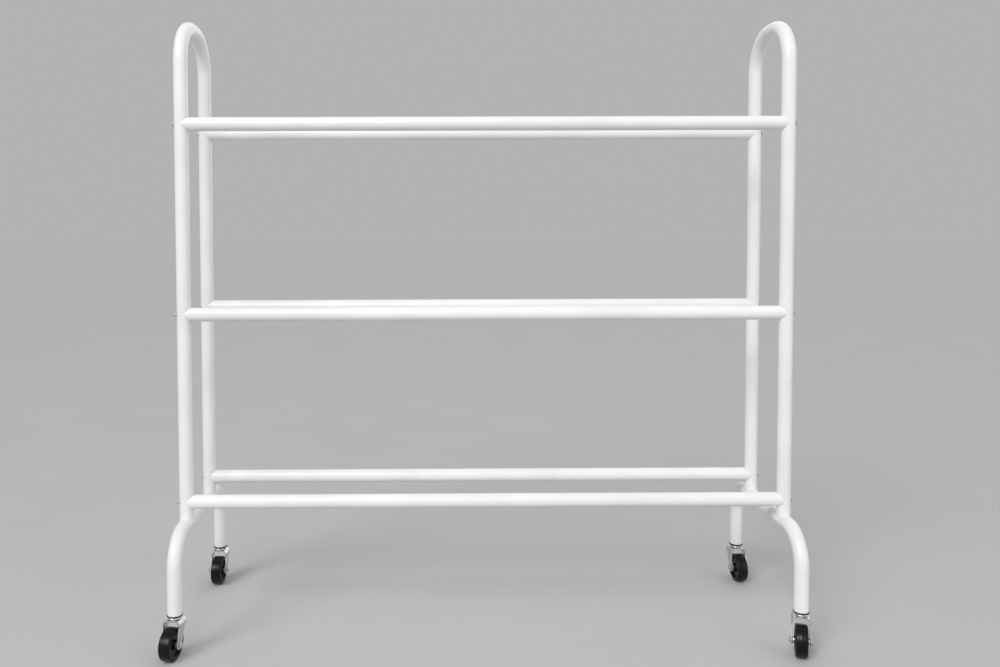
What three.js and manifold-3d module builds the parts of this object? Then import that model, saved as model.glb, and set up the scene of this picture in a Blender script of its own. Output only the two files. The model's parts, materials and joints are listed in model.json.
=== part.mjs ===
// Rolling rack: two arched end hoops stand on inverted-U base tubes, and six rails in three front and rear
// pairs are bolted between them. It rolls on four swivel casters.
// Millimetres: +X along the rails, +Y to the rear, +Z up. The origin is on the floor, under the middle of
// the overall box. The casters all trail towards the front, so the frame stands a little behind the origin.

import * as THREE from "three";
import { mergeVertices } from "three/addons/utils/BufferGeometryUtils.js";
import Module from "manifold-3d";

const CLEARANCE = 0.3; // between two pieces that touch
const CUT_MARGIN = 1; // how far a cutting shape runs past what it cuts
const FRAME_SETBACK = 16; // from the origin back to the middle of the frame

// Tube of the whole frame: 1 inch pipe.
const TUBE_RADIUS = 33.7 / 2;
const TUBE_WALL = 2;
const TUBE_SIDES = 16;

// Frame.
const RACK_LENGTH = 1500; // over the two ends
const UPRIGHT_SPACING = 222; // front upright to rear upright
const ARCH_TOP = 1496; // the arch's centreline
const ARCH_BEND_RADIUS = 95; // two bends with a short straight between them
const ARCH_BEND_STEPS = 6;
const LEG_SPACING = 442; // front leg to rear leg
const BASE_HEIGHT = 277; // the base tube's centreline
const BASE_BEND_RADIUS = 79;
const BASE_BEND_STEPS = 5;
const LEG_END = 100; // the open lower end of each leg
const RAIL_HEIGHTS = { bottom: 330, middle: 790, top: 1250 };
const COPE_TRIM = 3; // takes the sliver tips off a coped end

// Bolted joint of rail and upright.
const BOLT_RADIUS = 4;
const BOLT_SIDES = 12;
const BOLT_HEAD_RADIUS = 6.5;
const BOLT_HEAD_TOP_RADIUS = 3.9;
const BOLT_HEAD_HEIGHT = 3.8;
const BOLT_HEAD_SIDE = 1.3; // height of the head's straight side
const BOLT_LENGTH = 50;
const PLUG_LENGTH = 20;

// Swivel caster, in its own frame: the swivel axis is Z and the wheel trails towards -Y.
const WHEEL_RADIUS = 37.5; // to the flat of a facet, so that a facet lies on the floor
const WHEEL_SIDES = 24;
const WHEEL_WIDTH = 28;
const TREAD_CHAMFER = 4;
const HUB_RADIUS = 10;
const HUB_WIDTH = 37;
const RIM_RADIUS = 27; // the web is thinner than the tread inside this radius
const WEB_WIDTH = 16;
const TRAIL = 20;
const AXLE_RADIUS = 4;
const AXLE_TIP = 1; // past the nut
const FORK_GAP = 38;
const FORK_PLATE = 3;
const FORK_BEND_RADIUS = 14;
const FORK_TOP = 91;
const FORK_BOSS_RADIUS = 10.5;
const FORK_BOSS_END = 337; // degrees, where the rear edge of the leg meets the boss
const FORK_REACH_BACK = 17; // from the swivel axis
const FORK_REACH_FRONT = 19;
const FORK_SHOULDER_BACK = 9; // depth of the top's full-width part
const FORK_SHOULDER_FRONT = 12;
const FORK_LEG_BACK = 7; // rear edge of the leg where it leaves the top
const FORK_LEG_TOP = 75;
const STEM_RADIUS = 5.5;
const STEM_HEIGHT = 130;
const RACE_RADIUS = 16.5;
const RACE_TOP_RADIUS = 13;
const RACE_HEIGHT = 5;
const RACE_SIDE = 2; // height of the race's straight side
const RIVET_RADIUS = 8;
const RIVET_HEIGHT = 3;
const SOCKET_FLANGE_RADIUS = 18.5;
const SOCKET_DEPTH = 35;
const ROUND_SIDES = 12;
const HEXAGON = 6;
const NUT_RADIUS = 7.2;
const NUT_HEIGHT = 5;

// How far each caster is turned, in degrees counter-clockwise from trailing straight towards the front.
const CASTER_TURNS = { front_left: -12, front_right: -20, rear_left: -2, rear_right: 3 };

// Sides and rows of the frame.
const ENDS = { left: -1, right: 1 };
const ROWS = { front: -1, rear: 1 };

const BORE_RADIUS = TUBE_RADIUS - TUBE_WALL;
const END_X = RACK_LENGTH / 2 - TUBE_RADIUS;
const UPRIGHT_Y = UPRIGHT_SPACING / 2;
const LEG_Y = LEG_SPACING / 2;

const POWDER_COAT = { color: 0xf1f1ef, roughness: 0.42, metalness: 0 };
const ZINC = { color: 0xb9bcbf, roughness: 0.35, metalness: 1 };
const HARD_RUBBER = { color: 0x0f0f10, roughness: 0.35, metalness: 0 };
const PLASTIC = { color: 0x1b1b1d, roughness: 0.55, metalness: 0 };

const wasm = await Module();
wasm.setup();

function toSolid(geometry) {
  const plain = geometry.index ? geometry.toNonIndexed() : geometry.clone();
  plain.deleteAttribute("normal");
  plain.deleteAttribute("uv");
  const merged = mergeVertices(plain);
  return new wasm.Manifold(
    new wasm.Mesh({
      numProp: 3,
      vertProperties: merged.attributes.position.array,
      triVerts: new Uint32Array(merged.index.array),
    }),
  );
}

function toGeometry(solid) {
  const mesh = solid.getMesh();
  const geometry = new THREE.BufferGeometry();
  geometry.setAttribute("position", new THREE.BufferAttribute(mesh.vertProperties, 3));
  geometry.setIndex(new THREE.BufferAttribute(mesh.triVerts, 1));
  geometry.computeVertexNormals();
  return geometry;
}

function cut(geometry, ...tools) {
  return toGeometry(tools.reduce((solid, tool) => solid.subtract(toSolid(tool)), toSolid(geometry)));
}

// A path of straights and bends. It has one section at each station and none between them.
class StationPath extends THREE.Curve {
  constructor(stations) {
    super();
    this.stations = stations;
  }

  getUtoTmapping(u) {
    return u;
  }

  getPoint(t) {
    const last = this.stations.length - 1;
    const low = Math.min(Math.floor(t * last), last - 1);
    return this.stations[low].point.clone().lerp(this.stations[low + 1].point, t * last - low);
  }

  getTangent(t) {
    const last = this.stations.length - 1;
    return this.stations[Math.round(t * last)].tangent.clone();
  }
}

function station(y, z, tangentY, tangentZ) {
  return { point: new THREE.Vector3(0, y, z), tangent: new THREE.Vector3(0, tangentY, tangentZ) };
}

// Stations of a clockwise bend in the YZ plane, from one angle down to another.
function bend(centreY, centreZ, radius, fromAngle, toAngle, steps) {
  return Array.from({ length: steps + 1 }, (_, i) => {
    const angle = THREE.MathUtils.lerp(fromAngle, toAngle, i / steps);
    const [c, s] = [Math.cos(angle), Math.sin(angle)];
    return station(centreY + radius * c, centreZ + radius * s, s, -c);
  });
}

function polygon(Outline, radius, sides) {
  const outline = new Outline();
  for (let i = 0; i < sides; i++) {
    const angle = (2 * Math.PI * i) / sides;
    const [x, y] = [radius * Math.cos(angle), radius * Math.sin(angle)];
    if (i === 0) outline.moveTo(x, y);
    else outline.lineTo(x, y);
  }
  outline.closePath();
  return outline;
}

// A length of the frame's hollow tube.
function tubeAlong(stations) {
  const section = polygon(THREE.Shape, TUBE_RADIUS, TUBE_SIDES);
  section.holes.push(polygon(THREE.Path, BORE_RADIUS, TUBE_SIDES));
  return new THREE.ExtrudeGeometry(section, {
    steps: stations.length - 1,
    extrudePath: new StationPath(stations),
    bevelEnabled: false,
  });
}

const AXIS_X = new THREE.Vector3(1, 0, 0);
const AXIS_Y = new THREE.Vector3(0, 1, 0);
const AXIS_Z = new THREE.Vector3(0, 0, 1);

// A cylinder whose middle is at a point and whose axis lies along a direction.
function rod(radius, length, sides, axis, x = 0, y = 0, z = 0) {
  const geometry = new THREE.CylinderGeometry(radius, radius, length, sides);
  const turn = new THREE.Quaternion().setFromUnitVectors(AXIS_Y, axis);
  return geometry.applyQuaternion(turn).translate(x, y, z);
}

// A solid of revolution about Z. The profile is a list of [radius, height] that runs counter-clockwise.
function turned(profile, sides) {
  const points = profile.map(([radius, height]) => new THREE.Vector2(radius, height));
  return new THREE.LatheGeometry(points, sides).rotateX(Math.PI / 2);
}

// A flat outline pushed out to a depth on both sides, its own axes laid along three given directions.
function slab(outline, depth, across, up, normal) {
  const geometry = new THREE.ExtrudeGeometry(outline, { depth, bevelEnabled: false, curveSegments: 4 });
  geometry.translate(0, 0, -depth / 2);
  return geometry.applyMatrix4(new THREE.Matrix4().makeBasis(across, up, normal));
}

// Uprights and arch in one bent tube. Its feet are coped to sit on the base tube, and each upright is
// drilled along X at every rail.
function endHoop() {
  const foot = BASE_HEIGHT + COPE_TRIM;
  const bendY = UPRIGHT_Y - ARCH_BEND_RADIUS;
  const bendZ = ARCH_TOP - ARCH_BEND_RADIUS;
  const tube = tubeAlong([
    station(-UPRIGHT_Y, foot, 0, 1),
    ...bend(-bendY, bendZ, ARCH_BEND_RADIUS, Math.PI, Math.PI / 2, ARCH_BEND_STEPS),
    ...bend(bendY, bendZ, ARCH_BEND_RADIUS, Math.PI / 2, 0, ARCH_BEND_STEPS),
    station(UPRIGHT_Y, foot, 0, -1),
  ]);
  const base = rod(TUBE_RADIUS + CLEARANCE, LEG_SPACING, TUBE_SIDES * 2, AXIS_Y, 0, 0, BASE_HEIGHT);
  const through = 2 * (TUBE_RADIUS + CUT_MARGIN);
  const drills = Object.values(RAIL_HEIGHTS).flatMap((height) =>
    Object.values(ROWS).map((row) =>
      rod(BOLT_RADIUS + CLEARANCE, through, BOLT_SIDES, AXIS_X, 0, row * UPRIGHT_Y, height),
    ),
  );
  return cut(tube, base, ...drills);
}

// Two legs and the straight between them in one bent tube.
function baseTube() {
  const bendY = LEG_Y - BASE_BEND_RADIUS;
  const bendZ = BASE_HEIGHT - BASE_BEND_RADIUS;
  return tubeAlong([
    station(-LEG_Y, LEG_END, 0, 1),
    ...bend(-bendY, bendZ, BASE_BEND_RADIUS, Math.PI, Math.PI / 2, BASE_BEND_STEPS),
    ...bend(bendY, bendZ, BASE_BEND_RADIUS, Math.PI / 2, 0, BASE_BEND_STEPS),
    station(LEG_Y, LEG_END, 0, -1),
  ]);
}

// A straight tube with both ends coped to the uprights.
function rail() {
  const half = END_X - COPE_TRIM;
  const tube = tubeAlong([station(0, -half, 0, 1), station(0, half, 0, 1)]).rotateY(Math.PI / 2);
  const through = 2 * (TUBE_RADIUS + CUT_MARGIN);
  const uprights = Object.values(ENDS).map((end) =>
    rod(TUBE_RADIUS + CLEARANCE, through, TUBE_SIDES * 2, AXIS_Z, end * END_X),
  );
  return cut(tube, ...uprights);
}

// Button-head bolt at a right-hand joint, in the frame of the upright's axis: its head is towards +X.
function railBolt() {
  const seat = TUBE_RADIUS + CLEARANCE;
  return turned(
    [
      [0, seat - BOLT_LENGTH],
      [BOLT_RADIUS, seat - BOLT_LENGTH],
      [BOLT_RADIUS, seat],
      [BOLT_HEAD_RADIUS, seat],
      [BOLT_HEAD_RADIUS, seat + BOLT_HEAD_SIDE],
      [BOLT_HEAD_TOP_RADIUS, seat + BOLT_HEAD_HEIGHT],
      [0, seat + BOLT_HEAD_HEIGHT],
    ],
    BOLT_SIDES,
  ).rotateY(Math.PI / 2);
}

// Threaded plug pressed into a rail's right-hand end, in the frame of the upright's axis.
function railPlug() {
  const outer = BORE_RADIUS - CLEARANCE;
  const inner = BOLT_RADIUS + CLEARANCE;
  const face = -(TUBE_RADIUS + 3 * CLEARANCE);
  return turned(
    [
      [inner, face - PLUG_LENGTH],
      [outer, face - PLUG_LENGTH],
      [outer, face],
      [inner, face],
      [inner, face - PLUG_LENGTH],
    ],
    ROUND_SIDES,
  ).rotateY(Math.PI / 2);
}

// Plastic sleeve in the leg's end, with a flange under the tube.
function casterSocket() {
  const bore = STEM_RADIUS + CLEARANCE;
  const sleeve = BORE_RADIUS - CLEARANCE;
  const flangeTop = LEG_END - CLEARANCE;
  const flangeBottom = FORK_TOP + RACE_HEIGHT + 2 * CLEARANCE;
  return turned(
    [
      [bore, flangeBottom],
      [SOCKET_FLANGE_RADIUS, flangeBottom],
      [SOCKET_FLANGE_RADIUS, flangeTop],
      [sleeve, flangeTop],
      [sleeve, flangeTop + SOCKET_DEPTH],
      [bore, flangeTop + SOCKET_DEPTH],
      [bore, flangeBottom],
    ],
    ROUND_SIDES,
  );
}

// Kingpin: its stem is held in the socket, the race lies on the fork and the rivet head is under it.
function casterStem() {
  const plateTop = FORK_TOP + CLEARANCE;
  const plateBottom = FORK_TOP - FORK_PLATE - CLEARANCE;
  return turned(
    [
      [0, plateBottom - RIVET_HEIGHT],
      [RIVET_RADIUS, plateBottom - RIVET_HEIGHT],
      [RIVET_RADIUS, plateBottom],
      [STEM_RADIUS, plateBottom],
      [STEM_RADIUS, plateTop],
      [RACE_RADIUS, plateTop],
      [RACE_RADIUS, plateTop + RACE_SIDE],
      [RACE_TOP_RADIUS, plateTop + RACE_HEIGHT],
      [STEM_RADIUS, plateTop + RACE_HEIGHT],
      [STEM_RADIUS, STEM_HEIGHT],
      [0, STEM_HEIGHT],
    ],
    ROUND_SIDES,
  );
}

// The fork's bent strip, seen along Y: an inverted U with round shoulders.
function forkStrip() {
  const outer = FORK_GAP / 2 + FORK_PLATE;
  const inner = FORK_GAP / 2;
  const innerBend = FORK_BEND_RADIUS - FORK_PLATE;
  const bendX = outer - FORK_BEND_RADIUS;
  const bendZ = FORK_TOP - FORK_BEND_RADIUS;
  const foot = WHEEL_RADIUS - FORK_BOSS_RADIUS;
  const strip = new THREE.Shape();
  strip.moveTo(outer, foot);
  strip.lineTo(outer, bendZ);
  strip.absarc(bendX, bendZ, FORK_BEND_RADIUS, 0, Math.PI / 2, false);
  strip.absarc(-bendX, bendZ, FORK_BEND_RADIUS, Math.PI / 2, Math.PI, false);
  strip.lineTo(-outer, foot);
  strip.lineTo(-inner, foot);
  strip.lineTo(-inner, bendZ);
  strip.absarc(-bendX, bendZ, innerBend, Math.PI, Math.PI / 2, true);
  strip.absarc(bendX, bendZ, innerBend, Math.PI / 2, 0, true);
  strip.lineTo(inner, foot);
  strip.closePath();
  return strip;
}

// The fork's outline, seen along X: the top carries the race, and the legs lean forward to the boss at
// the axle.
function forkSide() {
  const above = FORK_TOP + CUT_MARGIN;
  const bossEnd = THREE.MathUtils.degToRad(FORK_BOSS_END);
  const side = new THREE.Shape();
  side.moveTo(FORK_REACH_BACK, above);
  side.lineTo(-FORK_REACH_FRONT, above);
  side.lineTo(-FORK_REACH_FRONT, FORK_TOP - FORK_SHOULDER_FRONT);
  side.absarc(-TRAIL, WHEEL_RADIUS, FORK_BOSS_RADIUS, Math.PI, bossEnd, false);
  side.lineTo(FORK_LEG_BACK, FORK_LEG_TOP);
  side.lineTo(FORK_REACH_BACK, FORK_TOP - FORK_SHOULDER_BACK);
  side.closePath();
  return side;
}

function casterFork() {
  const width = FORK_GAP + 2 * (FORK_PLATE + CUT_MARGIN);
  const depth = 2 * (TRAIL + FORK_BOSS_RADIUS + CUT_MARGIN);
  const strip = slab(forkStrip(), depth, AXIS_X, AXIS_Z, AXIS_Y.clone().negate());
  const side = slab(forkSide(), width, AXIS_Y, AXIS_Z, AXIS_X);
  const body = toGeometry(toSolid(strip).intersect(toSolid(side)));
  const stemHole = rod(STEM_RADIUS + CLEARANCE, FORK_TOP, ROUND_SIDES, AXIS_Z, 0, 0, FORK_TOP);
  const axleHole = rod(AXLE_RADIUS + CLEARANCE, width, BOLT_SIDES, AXIS_X, 0, -TRAIL, WHEEL_RADIUS);
  return cut(body, stemHole, axleHole);
}

// Wheel about its own axle, which is X. Half a facet's turn lays a facet flat on the floor.
function casterWheel() {
  const halfTurn = Math.PI / WHEEL_SIDES;
  const toCorner = 1 / Math.cos(halfTurn);
  const tread = WHEEL_RADIUS * toCorner;
  const shoulder = (WHEEL_RADIUS - TREAD_CHAMFER) * toCorner;
  const bore = AXLE_RADIUS + 2 * CLEARANCE;
  const half = [
    [HUB_RADIUS, HUB_WIDTH / 2],
    [HUB_RADIUS, WEB_WIDTH / 2],
    [RIM_RADIUS, WEB_WIDTH / 2],
    [RIM_RADIUS, WHEEL_WIDTH / 2],
    [shoulder, WHEEL_WIDTH / 2],
    [tread, WHEEL_WIDTH / 2 - TREAD_CHAMFER],
  ];
  const lower = half.map(([radius, height]) => [radius, -height]);
  const profile = [[bore, -HUB_WIDTH / 2], ...lower, ...half.reverse(), [bore, HUB_WIDTH / 2]];
  profile.push(profile[0]);
  return turned(profile, WHEEL_SIDES).rotateZ(halfTurn).rotateY(Math.PI / 2);
}

// Hexagon-head bolt through the fork and the wheel, head towards +X, about the axle.
function axleBolt() {
  const seat = FORK_GAP / 2 + FORK_PLATE + CLEARANCE;
  const end = -(seat + NUT_HEIGHT + AXLE_TIP);
  const headMiddle = seat + NUT_HEIGHT / 2;
  const shank = rod(AXLE_RADIUS, headMiddle - end, BOLT_SIDES, AXIS_X, (headMiddle + end) / 2);
  const head = rod(NUT_RADIUS, NUT_HEIGHT, HEXAGON, AXIS_X, headMiddle);
  return toGeometry(toSolid(shank).add(toSolid(head)));
}

function axleNut() {
  const seat = FORK_GAP / 2 + FORK_PLATE + CLEARANCE;
  const middle = -(seat + NUT_HEIGHT / 2);
  const nut = rod(NUT_RADIUS, NUT_HEIGHT, HEXAGON, AXIS_X, middle);
  const bore = rod(AXLE_RADIUS + CLEARANCE, NUT_HEIGHT + 2 * CUT_MARGIN, BOLT_SIDES, AXIS_X, middle);
  return cut(nut, bore);
}

function piece(name, geometry, look) {
  const mesh = new THREE.Mesh(geometry, new THREE.MeshStandardMaterial(look));
  mesh.name = name;
  return mesh;
}

function placed(object, x, y, z) {
  object.position.set(x, y, z);
  return object;
}

function buildEnds(rack) {
  const hoop = endHoop();
  const base = baseTube();
  for (const [end, sign] of Object.entries(ENDS)) {
    rack.add(placed(piece(`end_hoop_${end}`, hoop, POWDER_COAT), sign * END_X, 0, 0));
    rack.add(placed(piece(`base_tube_${end}`, base, POWDER_COAT), sign * END_X, 0, 0));
  }
}

function buildRails(rack) {
  const [tube, bolt, plug] = [rail(), railBolt(), railPlug()];
  for (const [tier, height] of Object.entries(RAIL_HEIGHTS)) {
    for (const [row, rowSign] of Object.entries(ROWS)) {
      rack.add(placed(piece(`rail_${tier}_${row}`, tube, POWDER_COAT), 0, rowSign * UPRIGHT_Y, height));
      for (const [end, endSign] of Object.entries(ENDS)) {
        const joint = placed(new THREE.Group(), endSign * END_X, rowSign * UPRIGHT_Y, height);
        joint.rotation.z = endSign > 0 ? 0 : Math.PI;
        joint.add(piece(`rail_bolt_${tier}_${row}_${end}`, bolt, ZINC));
        joint.add(piece(`rail_plug_${tier}_${row}_${end}`, plug, ZINC));
        rack.add(joint);
      }
    }
  }
}

function buildCasters(rack) {
  const [socket, stem, fork, wheel] = [casterSocket(), casterStem(), casterFork(), casterWheel()];
  const [axle, nut] = [axleBolt(), axleNut()];
  for (const [row, rowSign] of Object.entries(ROWS)) {
    for (const [end, endSign] of Object.entries(ENDS)) {
      const corner = `${row}_${end}`;
      const caster = placed(new THREE.Group(), endSign * END_X, rowSign * LEG_Y, 0);
      caster.rotation.z = THREE.MathUtils.degToRad(CASTER_TURNS[corner]);
      caster.add(piece(`caster_socket_${corner}`, socket, PLASTIC));
      caster.add(piece(`caster_stem_${corner}`, stem, ZINC));
      caster.add(piece(`caster_fork_${corner}`, fork, ZINC));
      caster.add(placed(piece(`caster_wheel_${corner}`, wheel, HARD_RUBBER), 0, -TRAIL, WHEEL_RADIUS));
      caster.add(placed(piece(`axle_bolt_${corner}`, axle, ZINC), 0, -TRAIL, WHEEL_RADIUS));
      caster.add(placed(piece(`axle_nut_${corner}`, nut, ZINC), 0, -TRAIL, WHEEL_RADIUS));
      rack.add(caster);
    }
  }
}

const rack = placed(new THREE.Group(), 0, FRAME_SETBACK, 0);
rack.name = "rolling_rack";
buildEnds(rack);
buildRails(rack);
buildCasters(rack);

export default rack;
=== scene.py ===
"""Looks of the rolling storage rack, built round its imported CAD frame. Lengths are in metres."""

import json
import math

import bmesh
import bpy
from mathutils import Matrix, Vector


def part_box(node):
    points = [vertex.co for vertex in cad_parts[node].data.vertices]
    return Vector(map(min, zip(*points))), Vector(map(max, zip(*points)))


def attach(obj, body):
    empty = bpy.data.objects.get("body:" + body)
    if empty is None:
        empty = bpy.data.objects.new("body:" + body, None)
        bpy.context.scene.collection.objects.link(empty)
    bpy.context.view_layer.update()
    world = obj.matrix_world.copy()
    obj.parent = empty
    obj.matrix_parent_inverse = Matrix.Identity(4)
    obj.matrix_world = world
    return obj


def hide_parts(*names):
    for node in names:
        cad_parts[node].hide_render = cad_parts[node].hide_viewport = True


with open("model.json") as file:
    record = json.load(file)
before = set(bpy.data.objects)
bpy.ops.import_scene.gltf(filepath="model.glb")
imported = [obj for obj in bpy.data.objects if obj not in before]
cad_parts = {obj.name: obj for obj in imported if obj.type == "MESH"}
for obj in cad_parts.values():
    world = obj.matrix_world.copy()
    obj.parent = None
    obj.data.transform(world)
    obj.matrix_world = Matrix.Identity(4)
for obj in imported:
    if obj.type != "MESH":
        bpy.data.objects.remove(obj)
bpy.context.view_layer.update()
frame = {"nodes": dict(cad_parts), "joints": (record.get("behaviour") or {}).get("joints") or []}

MM = 0.001

# ---------------------------------------------------------------- sizes that the frame holds
ENDS = ("left", "right")
ROWS = ("front", "rear")
TIERS = ("bottom", "middle", "top")


def middle(node):
    """The middle of a CAD node's box."""
    low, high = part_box(node)
    return (low + high) / 2


RAIL_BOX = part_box("rail_top_front")
TUBE_RADIUS = (RAIL_BOX[1].z - RAIL_BOX[0].z) / 2
TUBE_WALL = 2 * MM
END_X = {end: middle(f"end_hoop_{end}").x for end in ENDS}
ROW_Y = {row: middle(f"rail_top_{row}").y for row in ROWS}
RAIL_Z = {tier: middle(f"rail_{tier}_front").z for tier in TIERS}
MID_Y = middle("end_hoop_left").y
HOOP_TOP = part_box("end_hoop_left")[1].z - TUBE_RADIUS
BASE_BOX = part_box("base_tube_left")
BASE_Z = BASE_BOX[1].z - TUBE_RADIUS
LEG_Y = (BASE_BOX[1].y - BASE_BOX[0].y) / 2 - TUBE_RADIUS
LEG_END = BASE_BOX[0].z
JOINTS = {joint["name"]: joint for joint in frame["joints"]}

# ---------------------------------------------------------------- sizes of the fine shapes
TUBE_SEGMENTS = 72
TURNED_SEGMENTS = 48
CASTER_SEGMENTS = 64
FINE_SEGMENTS = 96
BEND_STEP = math.radians(3)
FIT_GAP = 0.25 * MM

ARCH_BEND_RADIUS = 95 * MM
BASE_BEND_RADIUS = 79 * MM
TUBE_END_ROUND = 0.7 * MM

BEAD_RADIUS = 1.7 * MM
BEAD_STEPS = 240
BEAD_SECTION = 12
BEAD_RIPPLES = 46
BEAD_RIPPLE_SHARE = 0.09
BEAD_DRIFT_SHARE = 0.05

BOLT_SHANK = 4 * MM
BOLT_TIP = 0.8 * MM
BOLT_HEAD_EDGE = 0.3 * MM
BOLT_HEAD_SIDE_SHARE = 0.22
BOLT_CROWN_RADIUS = 3.2 * MM
BOLT_DOME_STEPS = 8
BOLT_SOCKET = 2.6 * MM
BOLT_SOCKET_DEPTH = 2.2 * MM
BOLT_SOCKET_POINT = 2.6 * MM

FORK_OUTER = 22 * MM
FORK_BEND_RADIUS = 14 * MM
FORK_PLATE = 3 * MM
FORK_EDGE = 0.6 * MM
FORK_BOSS = 10.5 * MM
FORK_FOOT = 10.2 * MM
FORK_TOP_FRONT = -19 * MM
FORK_TOP_BACK = 17 * MM
FORK_LEG_BACK = 7 * MM
FORK_LEG_TOP = 75 * MM
FORK_WIDEN_FRONT = (70 * MM, 80 * MM)
FORK_WIDEN_BACK = (71 * MM, 82 * MM)
FORK_LEG_STEPS = 26
FORK_CROWN_STEPS = 4
FORK_COLUMNS = 14

WHEEL_HALF = 14 * MM
HUB_HALF = 15.5 * MM
HUB_BORE = 8.1 * MM
HUB_EDGE = 0.5 * MM
BUSH_HALF = 18.4 * MM
BUSH_OUTER = 8 * MM
BUSH_INNER = 4.3 * MM
BUSH_EDGE = 0.6 * MM

HEXAGON_ACROSS = 12.6 * MM
HEXAGON_LOW = FORK_OUTER + 0.2 * MM
HEXAGON_HIGH = FORK_OUTER + 5.1 * MM
HEXAGON_FACE_SHARE = 0.96
HEXAGON_FACE_RISE = 0.15 * MM
HEXAGON_CHAMFER = 0.9 * MM
HEAD_CHAMFER_LOW = 0.2 * MM
NUT_CHAMFER_LOW = 0.3 * MM
NUT_BORE = 4.15 * MM
AXLE_RADIUS = 4 * MM
AXLE_TIP_RADIUS = 3.3 * MM
AXLE_TIP = 0.7 * MM
AXLE_END = -(FORK_OUTER + 6.4 * MM)


# ---------------------------------------------------------------- materials
class Nodes:
    """A material's node tree, with short ways to add and join its nodes."""

    def __init__(self, name):
        self.material = bpy.data.materials.new(name)
        self.material.use_nodes = True
        self.tree = self.material.node_tree
        self.shader = self.tree.nodes["Principled BSDF"]

    def add(self, kind, **settings):
        node = self.tree.nodes.new(kind)
        for key, value in settings.items():
            if key in node.inputs:
                node.inputs[key].default_value = value
            else:
                setattr(node, key, value)
        return node

    def link(self, source, target):
        self.tree.links.new(source, target)

    def place(self):
        """The point on the piece, in its own metres."""
        return self.add("ShaderNodeTexCoord").outputs["Object"]

    def noise(self, scale, detail=3.0, roughness=0.5, stretch=None):
        """Noise with features about 1/scale metres across, perhaps stretched by a vector."""
        where = self.place()
        if stretch:
            mapping = self.add("ShaderNodeMapping")
            mapping.inputs["Scale"].default_value = stretch
            self.link(where, mapping.inputs["Vector"])
            where = mapping.outputs["Vector"]
        node = self.add("ShaderNodeTexNoise", Scale=scale, Detail=detail, Roughness=roughness)
        self.link(where, node.inputs["Vector"])
        return node.outputs["Fac"]

    def ramp(self, value, stops):
        """A colour ramp through (position, colour) stops."""
        node = self.add("ShaderNodeValToRGB")
        elements = node.color_ramp.elements
        while len(elements) < len(stops):
            elements.new(0.5)
        for element, (position, colour) in zip(elements, stops):
            element.position = position
            element.color = (*colour, 1.0)
        self.link(value, node.inputs["Fac"])
        return node.outputs["Color"]

    def span(self, value, low, high, from_low=0.0, from_high=1.0):
        """A value mapped from one span to another, clamped."""
        node = self.add("ShaderNodeMapRange")
        node.inputs["From Min"].default_value = from_low
        node.inputs["From Max"].default_value = from_high
        node.inputs["To Min"].default_value = low
        node.inputs["To Max"].default_value = high
        self.link(value, node.inputs["Value"])
        return node.outputs["Result"]

    def mix(self, factor, first, second):
        """Two colours mixed by a factor."""
        node = self.add("ShaderNodeMix", data_type="RGBA")
        self.link(factor, node.inputs["Factor"])
        for socket, colour in ((node.inputs["A"], first), (node.inputs["B"], second)):
            if isinstance(colour, tuple):
                socket.default_value = (*colour, 1.0)
            else:
                self.link(colour, socket)
        return node.outputs["Result"]

    def bump(self, *layers):
        """Bump nodes in a chain, one for each (height, strength, distance)."""
        normal = None
        for height, strength, distance in layers:
            node = self.add("ShaderNodeBump", Strength=strength, Distance=distance)
            self.link(height, node.inputs["Height"])
            if normal:
                self.link(normal, node.inputs["Normal"])
            normal = node.outputs["Normal"]
        self.link(normal, self.shader.inputs["Normal"])

    def finish(self, colour=None, roughness=None, **sockets):
        """Joins the colour and roughness to the shader and sets its other sockets."""
        for name, value in (("Base Color", colour), ("Roughness", roughness)):
            if value is not None:
                self.link(value, self.shader.inputs[name])
        for name, value in sockets.items():
            self.shader.inputs[name.replace("_", " ")].default_value = value
        return self.material


def powder_coat():
    """White powder coat: orange peel, faint unevenness and a few duller, greyer scuffs."""
    n = Nodes("white_powder_coat")
    drift = n.noise(7, detail=4)
    tone = n.ramp(drift, [(0.3, (0.77, 0.77, 0.757)), (0.7, (0.84, 0.84, 0.83))])
    scuffs = n.span(n.noise(26, detail=8, roughness=0.72), 0, 0.5, 0.66, 0.78)
    colour = n.mix(scuffs, tone, (0.60, 0.59, 0.57))
    roughness = n.span(n.noise(45, detail=5), 0.27, 0.44)
    n.bump((n.noise(620, detail=2), 0.16, 0.25 * MM), (n.noise(90, detail=2), 0.08, 0.5 * MM))
    return n.finish(colour, roughness, IOR=1.5, Coat_Weight=0.12, Coat_Roughness=0.2)


def zinc_plate():
    """Bright zinc plate: a patchy satin metal with fine drawn lines and duller spots."""
    n = Nodes("zinc_plate")
    patches = n.noise(140, detail=4)
    colour = n.ramp(patches, [
        (0.3, (0.52, 0.53, 0.55)),
        (0.55, (0.66, 0.67, 0.68)),
        (0.8, (0.76, 0.75, 0.72)),
    ])
    roughness = n.span(n.noise(210, detail=6, roughness=0.65), 0.30, 0.50)
    lines = n.noise(900, detail=2, stretch=(1.0, 1.0, 0.08))
    n.bump((lines, 0.22, 0.08 * MM), (n.noise(330, detail=3), 0.10, 0.15 * MM))
    return n.finish(colour, roughness, Metallic=1.0)


def hard_rubber():
    """Black rubber of the wheels: a polished tread with fine grain and a little floor dust."""
    n = Nodes("hard_rubber")
    dust = n.span(n.noise(60, detail=7, roughness=0.7), 0, 0.3, 0.55, 0.85)
    colour = n.mix(dust, (0.003, 0.003, 0.0035), (0.012, 0.0115, 0.011))
    roughness = n.span(n.noise(120, detail=5), 0.24, 0.38)
    n.bump((n.noise(1500, detail=2), 0.12, 0.05 * MM))
    return n.finish(colour, roughness, IOR=1.33)


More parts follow.
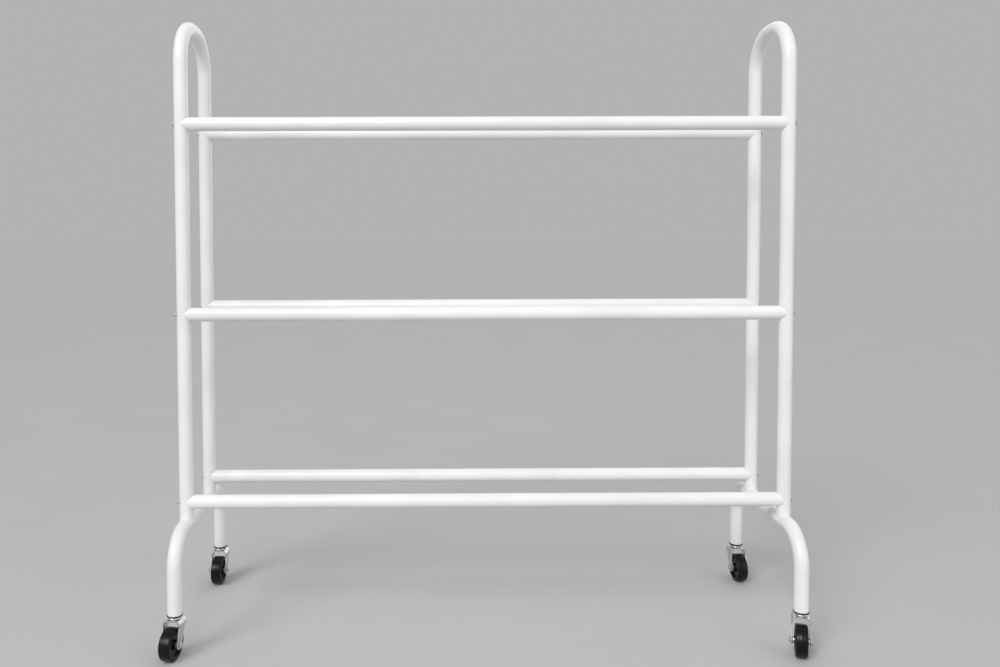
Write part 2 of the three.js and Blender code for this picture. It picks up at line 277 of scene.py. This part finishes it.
def black_plastic():
    """Moulded black plastic of the sockets: fine spark-eroded grain."""
    n = Nodes("black_plastic")
    colour = n.ramp(n.noise(90, detail=4), [(0.3, (0.018, 0.018, 0.019)), (0.8, (0.034, 0.034, 0.036))])
    roughness = n.span(n.noise(260, detail=4), 0.42, 0.62)
    n.bump((n.noise(1900, detail=2), 0.3, 0.06 * MM))
    return n.finish(colour, roughness)


def pale_floor():
    """The plain floor, which isn't part of the object."""
    n = Nodes("pale_floor")
    colour = n.ramp(n.noise(2.5, detail=3), [(0.3, (0.484, 0.484, 0.484)), (0.7, (0.496, 0.496, 0.496))])
    return n.finish(colour, Roughness=1.0, Specular_IOR_Level=0.0)


WHITE = powder_coat()
ZINC = zinc_plate()
RUBBER = hard_rubber()
PLASTIC = black_plastic()


# ---------------------------------------------------------------- making pieces
def add_piece(name, mesh, material, body, nodes=(), smooth_angle=35):
    """Puts a bmesh into the scene as a piece that rides on a body and stands for CAD nodes."""
    bmesh.ops.recalc_face_normals(mesh, faces=mesh.faces)
    data = bpy.data.meshes.new(name)
    mesh.to_mesh(data)
    mesh.free()
    data.materials.append(material)
    data.shade_smooth()
    data.set_sharp_from_angle(angle=math.radians(smooth_angle))
    piece = bpy.data.objects.new(name, data)
    bpy.context.scene.collection.objects.link(piece)
    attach(piece, body)
    if nodes:
        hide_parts(*nodes)
    return piece


def angles_round(segments):
    """Evenly spaced angles round a whole turn."""
    return [2 * math.pi * i / segments for i in range(segments)]


def ring(mesh, points):
    """New vertices at the points, in order."""
    return [mesh.verts.new(point) for point in points]


def circle(mesh, matrix, radius, height, segments):
    """A ring of points about a matrix's Z axis."""
    return ring(mesh, [
        matrix @ Vector((radius * math.cos(a), radius * math.sin(a), height))
        for a in angles_round(segments)
    ])


def fan(mesh, tip, loop):
    """Triangles between one point and a ring."""
    for i, vert in enumerate(loop):
        mesh.faces.new((tip, vert, loop[(i + 1) % len(loop)]))


def close_disc(mesh, loop, matrix, height):
    """Closes a ring with a fan from a point on a matrix's Z axis."""
    fan(mesh, mesh.verts.new(matrix @ Vector((0, 0, height))), loop)


def hexagon_reach(angle, flat_radius):
    """How far a hexagon reaches at an angle, from how far off its flats are."""
    return flat_radius / math.cos(angle % (math.pi / 3) - math.pi / 6)


def bridge(mesh, first, second):
    """Quads between two rings of the same length."""
    count = len(first)
    for i in range(count):
        j = (i + 1) % count
        mesh.faces.new((first[i], first[j], second[j], second[i]))


def arc(centre, radius, start, end, flat, up):
    """(point, tangent) pairs round a bend, with its plane given by two directions."""
    steps = max(2, round(abs(end - start) / BEND_STEP))
    turn = 1 if end > start else -1
    out = []
    for i in range(steps + 1):
        angle = start + (end - start) * i / steps
        c, s = math.cos(angle), math.sin(angle)
        out.append((centre + radius * (c * flat + s * up), turn * (c * up - s * flat)))
    return out


def swept_tube(mesh, path, side, first_end=None, last_end=None):
    """A hollow tube along (point, tangent) pairs that lie in one plane, whose normal is side.

    first_end and last_end move a point of an end's ring along the tangent: they take the point's
    offset from the path and return how far it moves."""
    outer, inner = [], []
    for index, (point, tangent) in enumerate(path):
        across = tangent.cross(side).normalized()
        shape = first_end if index == 0 else last_end if index == len(path) - 1 else None
        for radius, rings in ((TUBE_RADIUS, outer), (TUBE_RADIUS - TUBE_WALL, inner)):
            points = []
            for angle in angles_round(TUBE_SEGMENTS):
                offset = radius * (math.cos(angle) * side + math.sin(angle) * across)
                slide = shape(offset) if shape else 0.0
                points.append(point + offset + slide * tangent)
            rings.append(ring(mesh, points))
    for rings in (outer, inner):
        for first, second in zip(rings, rings[1:]):
            bridge(mesh, first, second)
    bridge(mesh, outer[0], inner[0])
    bridge(mesh, outer[-1], inner[-1])


def lathe(mesh, profile, matrix, segments):
    """A solid of revolution about a matrix's Z axis from (radius, height) points.

    A profile that starts and ends on the axis is closed there; any other closes on itself."""
    rings = []
    for radius, height in profile:
        if radius == 0:
            rings.append(mesh.verts.new(matrix @ Vector((0, 0, height))))
        else:
            rings.append(circle(mesh, matrix, radius, height, segments))
    pairs = list(zip(rings, rings[1:]))
    if isinstance(rings[0], list):
        pairs.append((rings[-1], rings[0]))
    for first, second in pairs:
        if isinstance(first, list) and isinstance(second, list):
            bridge(mesh, first, second)
            continue
        tip, loop = (second, first) if isinstance(first, list) else (first, second)
        fan(mesh, tip, loop)


def fillet(centre_radius, centre_height, radius, start, end, steps=5):
    """Profile points round a fillet, from one angle to another in degrees."""
    out = []
    for i in range(steps + 1):
        angle = math.radians(start + (end - start) * i / steps)
        out.append((centre_radius + radius * math.cos(angle), centre_height + radius * math.sin(angle)))
    return out


X, Y, Z = Vector((1, 0, 0)), Vector((0, 1, 0)), Vector((0, 0, 1))


def cope(offset_side):
    """How far an end ring's point stands off a tube that it is coped to, from its sideways offset."""
    reach = TUBE_RADIUS + FIT_GAP
    return math.sqrt(max(reach**2 - offset_side**2, 0.0))


# ---------------------------------------------------------------- frame
def end_hoop(end):
    """Two uprights and the arch over them, its feet coped to the base tube."""
    x = END_X[end]
    bend_y = (ROW_Y["rear"] - ROW_Y["front"]) / 2 - ARCH_BEND_RADIUS
    bend_z = HOOP_TOP - ARCH_BEND_RADIUS
    path = [(Vector((x, ROW_Y["front"], BASE_Z)), Z)]
    path += [(Vector((x, ROW_Y["front"], RAIL_Z[tier])), Z) for tier in TIERS]
    path += arc(Vector((x, MID_Y - bend_y, bend_z)), ARCH_BEND_RADIUS, math.pi, math.pi / 2, Y, Z)
    path += arc(Vector((x, MID_Y + bend_y, bend_z)), ARCH_BEND_RADIUS, math.pi / 2, 0, Y, Z)
    path += [(Vector((x, ROW_Y["rear"], RAIL_Z[tier])), -Z) for tier in reversed(TIERS)]
    path += [(Vector((x, ROW_Y["rear"], BASE_Z)), -Z)]
    mesh = bmesh.new()
    swept_tube(mesh, path, X, lambda o: cope(o.x), lambda o: -cope(o.x))
    add_piece(f"hoop_{end}", mesh, WHITE, "frame", [f"end_hoop_{end}"])


def base_tube(end):
    """A straight top with a bend down into a leg at each end."""
    x = END_X[end]
    bend_z = BASE_Z - BASE_BEND_RADIUS
    bend_y = LEG_Y - BASE_BEND_RADIUS
    path = [(Vector((x, MID_Y - LEG_Y, LEG_END)), Z)]
    path += arc(Vector((x, MID_Y - bend_y, bend_z)), BASE_BEND_RADIUS, math.pi, math.pi / 2, Y, Z)
    path += arc(Vector((x, MID_Y + bend_y, bend_z)), BASE_BEND_RADIUS, math.pi / 2, 0, Y, Z)
    path += [(Vector((x, MID_Y + LEG_Y, LEG_END)), -Z)]
    mesh = bmesh.new()
    swept_tube(mesh, path, X)
    round_tube_ends(mesh, LEG_END)
    add_piece(f"base_{end}", mesh, WHITE, "frame", [f"base_tube_{end}"])


def round_tube_ends(mesh, height):
    """Breaks the sharp edges of the tube ends that lie at a height."""
    mesh.normal_update()
    rim = [e for e in mesh.edges if all(abs(v.co.z - height) < 1e-6 for v in e.verts)]
    rim = [e for e in rim if len(e.link_faces) == 2 and e.calc_face_angle(0) > 1]
    bmesh.ops.bevel(mesh, geom=rim, offset=TUBE_END_ROUND, segments=3, profile=0.5, affect="EDGES")


def rail(tier, row):
    """A straight tube whose ends are coped to the uprights."""
    y, z = ROW_Y[row], RAIL_Z[tier]
    path = [(Vector((END_X["left"], y, z)), X), (Vector((END_X["right"], y, z)), X)]
    mesh = bmesh.new()
    swept_tube(mesh, path, Z, lambda o: cope(o.y), lambda o: -cope(o.y))
    add_piece(f"tube_{tier}_{row}", mesh, WHITE, "frame", [f"rail_{tier}_{row}"])


def weld_bead(row, end):
    """A rippled fillet of weld round an upright's foot, under the paint."""
    mesh = bmesh.new()
    rings = []
    for angle in angles_round(BEAD_STEPS):
        c, s = math.cos(angle), math.sin(angle)
        height = math.sqrt(max(TUBE_RADIUS**2 * (1 - c * c), 0.0))
        slope = Vector((TUBE_RADIUS * c, 0, height)).normalized()
        outward = (Vector((c, s, 0)) + slope).normalized()
        ripple = 1 + BEAD_RIPPLE_SHARE * math.sin(BEAD_RIPPLES * angle)
        ripple += BEAD_DRIFT_SHARE * math.sin(5 * angle + 1.3)
        centre = Vector((END_X[end] + TUBE_RADIUS * c, ROW_Y[row] + TUBE_RADIUS * s, BASE_Z + height))
        along = Vector((-s, c, 0)) * TUBE_RADIUS
        along.z = TUBE_RADIUS * c * s / max(abs(s), 0.02)
        along.normalize()
        side = along.cross(outward).normalized()
        rings.append(ring(mesh, [
            centre + BEAD_RADIUS * ripple * (math.cos(turn) * outward + math.sin(turn) * side)
            for turn in angles_round(BEAD_SECTION)
        ]))
    for first, second in zip(rings, rings[1:] + rings[:1]):
        bridge(mesh, first, second)
    add_piece(f"weld_{row}_{end}", mesh, WHITE, "frame", smooth_angle=80)


def rail_bolt(tier, row, end):
    """Button-head bolt with a hexagon socket, its head on the outside of the upright."""
    node = f"rail_bolt_{tier}_{row}_{end}"
    low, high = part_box(node)
    sign = 1 if end == "right" else -1
    radius = (high.z - low.z) / 2
    seat = abs(END_X[end]) + TUBE_RADIUS
    crown = max(abs(low.x), abs(high.x)) - seat
    tail = min(abs(low.x), abs(high.x)) - seat
    outward = Z.rotation_difference(sign * X).to_matrix().to_4x4()
    matrix = Matrix.Translation((sign * seat, ROW_Y[row], RAIL_Z[tier])) @ outward
    profile = [(BOLT_SHANK - BOLT_TIP, tail), (BOLT_SHANK, tail + BOLT_TIP), (BOLT_SHANK, 0.0)]
    profile += [(radius - BOLT_HEAD_EDGE, 0.0), (radius, BOLT_HEAD_EDGE)]
    for i in range(BOLT_DOME_STEPS + 1):
        share = i / BOLT_DOME_STEPS
        across = radius - (radius - BOLT_CROWN_RADIUS) * share**1.6
        rise = (1 - BOLT_HEAD_SIDE_SHARE) * math.sin(share * math.pi / 2)
        profile.append((across, crown * (BOLT_HEAD_SIDE_SHARE + rise)))
    mesh = bmesh.new()
    socket_bolt(mesh, profile, matrix, tail, crown)
    add_piece(f"bolt_{tier}_{row}_{end}", mesh, ZINC, "frame", [node], smooth_angle=30)


def socket_bolt(mesh, profile, matrix, tail, crown):
    """A bolt turned from its profile, whose crown is sunk by a hexagon socket."""
    point = mesh.verts.new(matrix @ Vector((0, 0, tail)))
    rings = [circle(mesh, matrix, radius, height, TURNED_SEGMENTS) for radius, height in profile]
    fan(mesh, point, rings[0])
    for first, second in zip(rings, rings[1:]):
        bridge(mesh, first, second)
    hexagon = []
    for a in angles_round(TURNED_SEGMENTS):
        reach = hexagon_reach(a, BOLT_SOCKET * math.cos(math.pi / 6))
        hexagon.append((reach * math.cos(a), reach * math.sin(a)))
    mouth = ring(mesh, [matrix @ Vector((u, v, crown)) for u, v in hexagon])
    floor = ring(mesh, [matrix @ Vector((u, v, crown - BOLT_SOCKET_DEPTH)) for u, v in hexagon])
    bridge(mesh, rings[-1], mouth)
    bridge(mesh, mouth, floor)
    close_disc(mesh, floor, matrix, crown - BOLT_SOCKET_POINT)


# ---------------------------------------------------------------- casters
def caster_frame(corner):
    """The caster's own axes: its origin on the floor under the swivel axis, X along the axle."""
    swivel = JOINTS[f"swivel_{corner}"]
    spin = JOINTS[f"wheel_spin_{corner}"]
    axle = Vector(spin["axis"]).normalized()
    origin = Vector(swivel["pos_m"])
    origin.z = 0
    matrix = Matrix.Identity(4)
    matrix.col[0][:3] = axle
    matrix.col[1][:3] = Z.cross(axle)
    matrix.col[3][:3] = origin
    hub = matrix.inverted() @ Vector(spin["pos_m"])
    return matrix, hub


def caster_socket(corner, matrix):
    """Plastic sleeve in the leg's end, with a flange under it."""
    node = f"caster_socket_{corner}"
    low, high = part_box(node)
    flange = 18.5 * MM
    sleeve = TUBE_RADIUS - TUBE_WALL - FIT_GAP
    bore = 5.8 * MM
    top = LEG_END - 0.2 * MM
    low_round, top_round, tip = 1.2 * MM, 0.8 * MM, 1 * MM
    profile = [(bore, low.z), (flange - low_round, low.z)]
    profile += fillet(flange - low_round, low.z + low_round, low_round, -90, 0)
    profile += fillet(flange - top_round, top - top_round, top_round, 0, 90)
    profile += [(sleeve, top), (sleeve, high.z - tip), (sleeve - tip, high.z), (bore, high.z)]
    mesh = bmesh.new()
    lathe(mesh, profile, matrix, CASTER_SEGMENTS)
    add_piece(f"socket_{corner}", mesh, PLASTIC, "frame", [node])


def caster_stem(corner, matrix):
    """Kingpin with the pressed cup of its ball race."""
    node = f"caster_stem_{corner}"
    low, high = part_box(node)
    fork_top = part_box(f"caster_fork_{corner}")[1].z
    stem = 5.5 * MM
    race = 16.5 * MM
    race_low = fork_top + 0.3 * MM
    race_high = race_low + 5 * MM
    plate_low = low.z + 3 * MM
    rivet, rivet_round, low_round, dome, tip = 7.8 * MM, 2.2 * MM, 1.4 * MM, 3.4 * MM, 1 * MM
    profile = [(0, low.z), (4 * MM, low.z)]
    profile += fillet(rivet - rivet_round, low.z + rivet_round, rivet_round, -70, 0)
    profile += [(rivet, plate_low), (stem, plate_low), (stem, race_low)]
    profile += [(race - 3 * MM, race_low)]
    profile += fillet(race - low_round, race_low + low_round, low_round, -90, 0)
    profile += fillet(race - dome, race_high - dome, dome, 0, 90, 8)
    profile += [(stem, race_high), (stem, high.z - tip), (stem - tip, high.z), (0, high.z)]
    mesh = bmesh.new()
    lathe(mesh, profile, matrix, CASTER_SEGMENTS)
    add_piece(f"stem_{corner}", mesh, ZINC, "frame", [node])


def smooth(value, low, high):
    """0 below a span, 1 above it and an S-curve between."""
    share = min(max((value - low) / (high - low), 0.0), 1.0)
    return share * share * (3 - 2 * share)


def fork_span(z, hub):
    """The fork plate's (front, back) reach along Y at a height: a wide top over a leaning leg."""
    share = min(max((z - hub.z) / (FORK_LEG_TOP - hub.z), 0.0), 1.2)
    front = hub.y - FORK_BOSS + (FORK_TOP_FRONT - hub.y + FORK_BOSS) * share
    back = hub.y + FORK_BOSS + (FORK_LEG_BACK - hub.y - FORK_BOSS) * share
    front = min(front + (FORK_TOP_FRONT - front) * smooth(z, *FORK_WIDEN_FRONT), FORK_TOP_FRONT)
    back += (FORK_TOP_BACK - back) * smooth(z, *FORK_WIDEN_BACK)
    if z < hub.z:
        half = math.sqrt(max(FORK_BOSS**2 - (hub.z - z) ** 2, (0.2 * FORK_BOSS) ** 2))
        front, back = hub.y - half, hub.y + half
    return front, back


def caster_fork(corner, matrix, hub):
    """Pressed strip bent to an inverted U, with rolled shoulders and a rounded boss at each foot."""
    node = f"caster_fork_{corner}"
    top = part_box(node)[1].z
    foot = hub.z - FORK_FOOT
    leg = top - FORK_BEND_RADIUS - foot
    flat = FORK_OUTER - FORK_BEND_RADIUS
    strip = [(FORK_OUTER, foot + leg * (i / FORK_LEG_STEPS) ** 1.15) for i in range(FORK_LEG_STEPS)]
    strip += fillet(flat, top - FORK_BEND_RADIUS, FORK_BEND_RADIUS, 0, 90, 14)
    strip += [(flat * (1 - i / FORK_CROWN_STEPS), top) for i in range(1, FORK_CROWN_STEPS + 1)]
    left = [(-x, z) for x, z in reversed(strip[:-1])]
    mesh = bmesh.new()
    rows = []
    for x, z in strip + left:
        front, back = fork_span(z, hub)
        rows.append(ring(mesh, [
            (x, front + (back - front) * j / FORK_COLUMNS, z) for j in range(FORK_COLUMNS + 1)
        ]))
    for first, second in zip(rows, rows[1:]):
        for j in range(FORK_COLUMNS):
            mesh.faces.new((first[j], first[j + 1], second[j + 1], second[j]))
    bmesh.ops.recalc_face_normals(mesh, faces=mesh.faces)
    mesh.transform(matrix)
    piece = add_piece(f"fork_{corner}", mesh, ZINC, f"caster_{corner}", [node])
    thick = piece.modifiers.new("thick", "SOLIDIFY")
    thick.thickness = FORK_PLATE
    thick.offset = -1
    thick.use_even_offset = True
    edges = piece.modifiers.new("edges", "BEVEL")
    edges.width = FORK_EDGE
    edges.segments = 3
    edges.limit_method = "ANGLE"
    edges.angle_limit = math.radians(50)


def axle_turn(hub, axis):
    """The hub's matrix in the caster's axes, which lays an axis of a turned shape along the axle."""
    return Matrix.Translation(hub) @ axis.rotation_difference(X).to_matrix().to_4x4()


def caster_wheel(corner, matrix, hub):
    """Moulded wheel: a hub, a sunk web and a rim with a crowned tread."""
    node = f"caster_wheel_{corner}"
    radius = hub.z
    side = [
        (HUB_BORE, HUB_HALF - HUB_EDGE),
        (HUB_BORE + HUB_EDGE, HUB_HALF),
        (9.8 * MM, HUB_HALF),
        (10.5 * MM, HUB_HALF - 0.7 * MM),
        (10.9 * MM, 12.5 * MM),
        (11.2 * MM, 9.4 * MM),
        (12.0 * MM, 8.2 * MM),
        (24.0 * MM, 8.0 * MM),
        (25.6 * MM, 8.8 * MM),
        (26.2 * MM, 10.6 * MM),
        (26.8 * MM, WHEEL_HALF - 0.7 * MM),
        (27.6 * MM, WHEEL_HALF - 0.1 * MM),
        (32.6 * MM, WHEEL_HALF),
        (34.2 * MM, WHEEL_HALF - 0.3 * MM),
    ]
    side += fillet(radius - 3.6 * MM, WHEEL_HALF - 4.0 * MM, 3.5 * MM, 78, 8, 8)
    side += [(radius - 0.03 * MM, 5.5 * MM), (radius, 0.9 * MM), (radius + 0.12 * MM, 0.35 * MM)]
    profile = [(r, -z) for r, z in side] + side[::-1]
    mesh = bmesh.new()
    lathe(mesh, profile, matrix @ axle_turn(hub, Z), FINE_SEGMENTS)
    add_piece(f"wheel_{corner}", mesh, RUBBER, f"wheel_{corner}", [node], smooth_angle=32)


def hub_bush(corner, matrix, hub):
    """Zinc bush through the wheel's hub, its ends just clear of the fork."""
    side = [
        (BUSH_INNER, BUSH_HALF),
        (BUSH_OUTER - BUSH_EDGE, BUSH_HALF),
        (BUSH_OUTER, BUSH_HALF - BUSH_EDGE),
    ]
    profile = [(r, -z) for r, z in side] + side[::-1]
    mesh = bmesh.new()
    lathe(mesh, profile, matrix @ axle_turn(hub, Z), CASTER_SEGMENTS)
    add_piece(f"bush_{corner}", mesh, ZINC, f"wheel_{corner}")


def hexagon_prism(mesh, matrix, chamfer_low, hole):
    """A hexagon head or nut outside the fork's plate, whose corners are cut by a cone at each end.

    Returns the rings round its hole at the low and the high end."""
    flat = HEXAGON_ACROSS / 2
    face = flat * HEXAGON_FACE_SHARE
    corner = flat / math.cos(math.pi / 6)

    def cut_edge(height, sink):
        """The wavy edge where the cone meets the flats, sunk by sink at the corners."""
        points = []
        for a in angles_round(FINE_SEGMENTS):
            r = hexagon_reach(a, flat)
            drop = sink * (r - flat) / (corner - flat)
            points.append(matrix @ Vector((r * math.cos(a), r * math.sin(a), height - drop)))
        return ring(mesh, points)

    rings = [
        circle(mesh, matrix, hole, HEXAGON_LOW, FINE_SEGMENTS),
        circle(mesh, matrix, face, HEXAGON_LOW, FINE_SEGMENTS),
        cut_edge(HEXAGON_LOW + HEXAGON_FACE_RISE, -chamfer_low),
        cut_edge(HEXAGON_HIGH - HEXAGON_FACE_RISE, HEXAGON_CHAMFER),
        circle(mesh, matrix, face, HEXAGON_HIGH, FINE_SEGMENTS),
        circle(mesh, matrix, hole, HEXAGON_HIGH, FINE_SEGMENTS),
    ]
    for first, second in zip(rings, rings[1:]):
        bridge(mesh, first, second)
    return rings[0], rings[-1]


def axle_bolt(corner, matrix, hub):
    """Hexagon-head axle bolt: the head is outside the fork's +X leg."""
    node = f"axle_bolt_{corner}"
    turn = matrix @ axle_turn(hub, Z)
    mesh = bmesh.new()
    low, high = hexagon_prism(mesh, turn, HEAD_CHAMFER_LOW, AXLE_RADIUS)
    close_disc(mesh, high, turn, HEXAGON_HIGH)
    shank = circle(mesh, turn, AXLE_RADIUS, AXLE_END + AXLE_TIP, FINE_SEGMENTS)
    tip = circle(mesh, turn, AXLE_TIP_RADIUS, AXLE_END, FINE_SEGMENTS)
    bridge(mesh, low, shank)
    bridge(mesh, shank, tip)
    close_disc(mesh, tip, turn, AXLE_END)
    add_piece(f"axle_{corner}", mesh, ZINC, f"caster_{corner}", [node])


def axle_nut(corner, matrix, hub):
    """Hexagon nut outside the fork's -X leg."""
    node = f"axle_nut_{corner}"
    mesh = bmesh.new()
    low, high = hexagon_prism(mesh, matrix @ axle_turn(hub, -Z), NUT_CHAMFER_LOW, NUT_BORE)
    bridge(mesh, low, high)
    add_piece(f"nut_{corner}", mesh, ZINC, f"caster_{corner}", [node])


# ---------------------------------------------------------------- the whole object
def build_frame():
    for end in ENDS:
        end_hoop(end)
        base_tube(end)
        for row in ROWS:
            weld_bead(row, end)
    for tier in TIERS:
        for row in ROWS:
            rail(tier, row)
            for end in ENDS:
                rail_bolt(tier, row, end)
                plug = frame["nodes"][f"rail_plug_{tier}_{row}_{end}"]
                plug.data.materials.clear()
                plug.data.materials.append(ZINC)


def build_casters():
    for row in ROWS:
        for end in ENDS:
            corner = f"{row}_{end}"
            matrix, hub = caster_frame(corner)
            caster_socket(corner, matrix)
            caster_stem(corner, matrix)
            caster_fork(corner, matrix, hub)
            caster_wheel(corner, matrix, hub)
            hub_bush(corner, matrix, hub)
            axle_bolt(corner, matrix, hub)
            axle_nut(corner, matrix, hub)


# ---------------------------------------------------------------- camera, light and floor
FLOOR_HALF = 60
WORLD_COLOUR = (0.45, 0.45, 0.455, 1)
AIM = Vector((0, 0, 0.75))
# Each sun's place, strength and the angle that it fills in degrees.
SUNS = {
    "key_sun": ((-1.9, -2.4, 3.1), 1.5, 28),
    "fill_sun": ((3.0, -2.2, 2.1), 0.7, 60),
    "back_sun": ((1.6, 3.4, 2.1), 0.8, 60),
}
SOFTBOX_PLACE = (-0.9, -3.0, 3.1)
SOFTBOX_SIZE = 1.2
SOFTBOX_POWER = 34

CAMERA_PLACE = (-0.1291, MID_Y - 2.2311, 0.9967)
CAMERA_TURN = (87.708, 0.170, -0.325)
CAMERA_LENS = 31.46
CAMERA_SHIFT = (0.0628, -0.0697)


def studio():
    """Plain floor, even grey surroundings, three soft suns and a softbox."""
    scene = bpy.context.scene
    scene.view_settings.view_transform = "Standard"
    floor_mesh = bmesh.new()
    bmesh.ops.create_grid(floor_mesh, x_segments=1, y_segments=1, size=FLOOR_HALF)
    data = bpy.data.meshes.new("floor")
    floor_mesh.to_mesh(data)
    floor_mesh.free()
    data.materials.append(pale_floor())
    floor = bpy.data.objects.new("floor", data)
    scene.collection.objects.link(floor)

    world = bpy.data.worlds.new("studio")
    scene.world = world
    world.use_nodes = True
    background = world.node_tree.nodes["Background"]
    background.inputs["Color"].default_value = WORLD_COLOUR
    background.inputs["Strength"].default_value = 1.0

    for name, (place, strength, angle) in SUNS.items():
        lamp = bpy.data.lights.new(name, "SUN")
        lamp.energy = strength
        lamp.angle = math.radians(angle)
        hang(name, lamp, place)
    softbox = bpy.data.lights.new("softbox", "AREA")
    softbox.shape = "SQUARE"
    softbox.size = SOFTBOX_SIZE
    softbox.energy = SOFTBOX_POWER
    hang("softbox", softbox, SOFTBOX_PLACE)


def hang(name, lamp, place):
    """Puts a lamp at its place, aimed at the middle of the rack."""
    holder = bpy.data.objects.new(name, lamp)
    holder.location = place
    holder.rotation_euler = (AIM - Vector(place)).to_track_quat("-Z", "Y").to_euler()
    bpy.context.scene.collection.objects.link(holder)


def camera():
    """Camera a little left of the middle, at chest height, looking slightly down."""
    data = bpy.data.cameras.new("camera")
    data.sensor_width = 36
    data.lens = CAMERA_LENS
    data.shift_x, data.shift_y = CAMERA_SHIFT
    data.clip_start = 0.05
    data.clip_end = 200
    holder = bpy.data.objects.new("camera", data)
    holder.location = CAMERA_PLACE
    holder.rotation_euler = [math.radians(angle) for angle in CAMERA_TURN]
    bpy.context.scene.collection.objects.link(holder)
    bpy.context.scene.camera = holder


camera()
studio()
build_frame()
build_casters()

bpy.context.view_layer.update()
